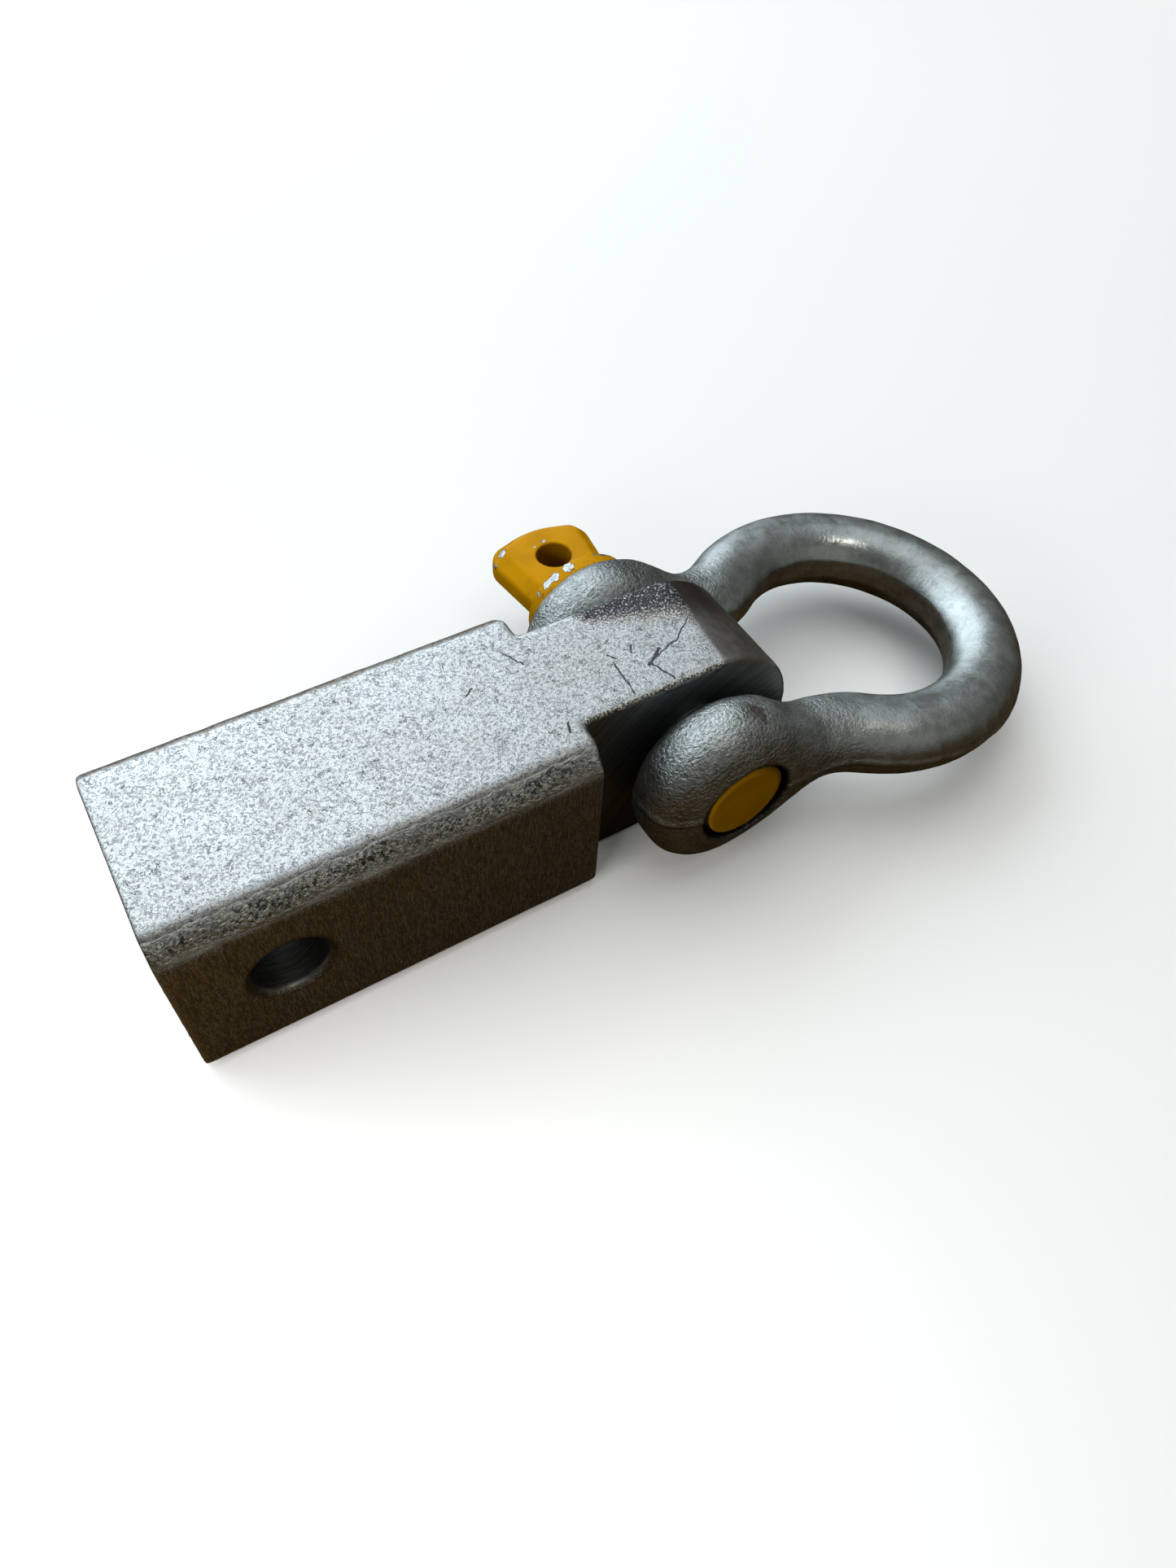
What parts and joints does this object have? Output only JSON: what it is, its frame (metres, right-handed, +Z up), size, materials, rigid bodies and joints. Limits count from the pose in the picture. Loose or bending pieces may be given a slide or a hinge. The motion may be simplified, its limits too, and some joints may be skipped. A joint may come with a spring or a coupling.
{
  "type": "receiver shackle mount",
  "caption": "Solid square receiver shank with a round-nosed tongue that carries a swinging bow shackle on a screw pin, for towing and recovery.",
  "frame": {"origin": "on the block's flat underside, straight below the middle of the hitch-pin hole, half-way across the shank", "axes": "+X along the shank towards the shackle, +Y towards the side of the shackle pin's head, +Z up"},
  "size_m": [0.2356, 0.1152, 0.05],
  "materials": {
    "zinc_plated_steel": "bright zinc plating with fine grain, ground chamfers and scratches",
    "galvanised_steel": "satin hot-dip galvanising, mottled, with a forging flash line",
    "yellow_enamel": "glossy yellow enamel, chipped to bare steel at the corners"
  },
  "bodies": {
    "receiver": {"receiver_block": "zinc_plated_steel"},
    "bow": {"shackle_bow": "galvanised_steel"},
    "pin": {"screw_pin": "yellow_enamel"}
  },
  "joints": [
    {"name": "shackle_swing", "type": "hinge", "parent": "receiver", "child": "bow", "pos_m": [0.1054, -0.0003, 0.025], "axis": [0, 1, 0], "range_deg": [-136, 126]},
    {"name": "pin_draw", "type": "slide", "parent": "bow", "child": "pin", "axis": [0, 1, 0], "range_m": [0, 0.075]}
  ]
}
